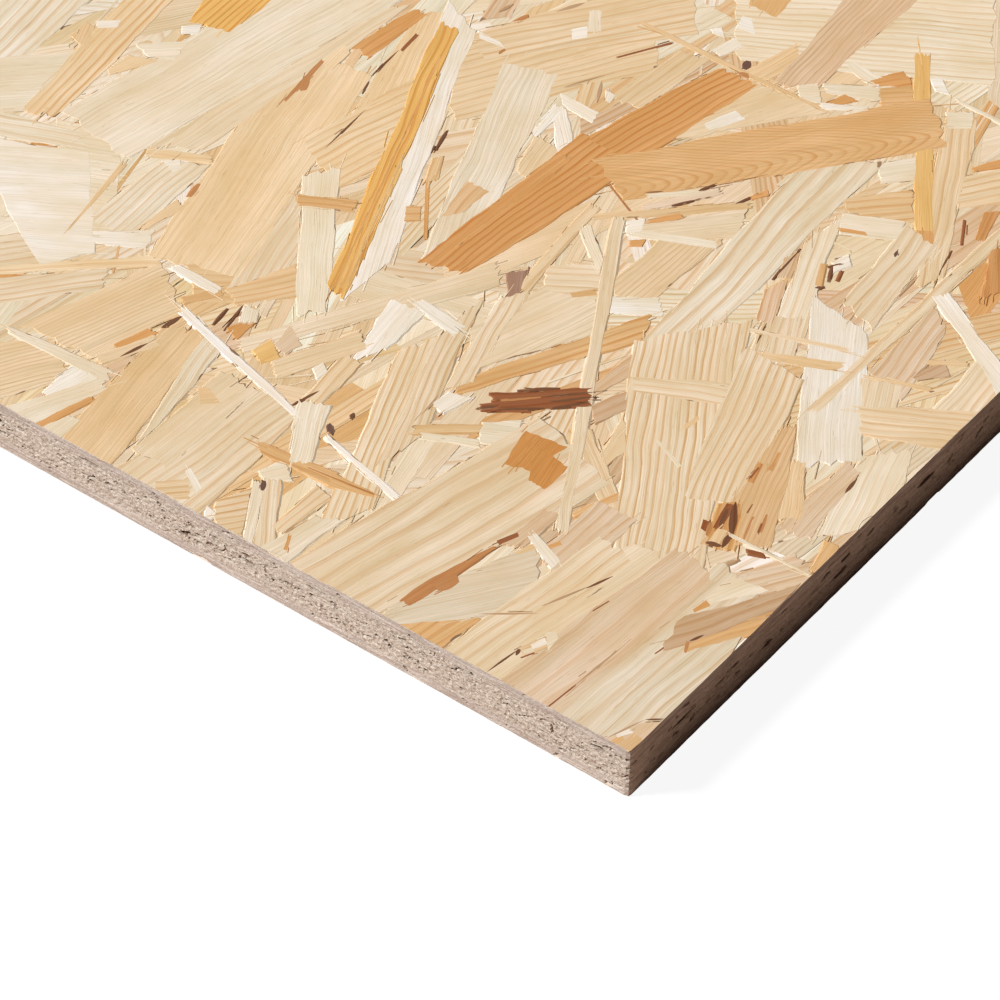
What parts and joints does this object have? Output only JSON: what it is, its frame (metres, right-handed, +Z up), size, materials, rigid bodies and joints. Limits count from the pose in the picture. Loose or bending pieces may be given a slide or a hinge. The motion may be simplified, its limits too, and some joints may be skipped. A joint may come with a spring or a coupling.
{
  "type": "osb panel",
  "caption": "Flat rectangular square-edged sheet of oriented strand board, with voids and small chips along its sawn edges, for flooring, sheathing and roof decking.",
  "frame": {"origin": "middle of the underside, on the surface that the sheet lies on", "axes": "+X along the sheet's length, which is the main direction of the face strands; +Y along its width; +Z up through its thickness"},
  "size_m": [2.44, 1.22, 0.018],
  "materials": {
    "osb_board": "matte"
  },
  "bodies": {
    "root": {"osb_panel": "osb_board"}
  },
  "joints": []
}
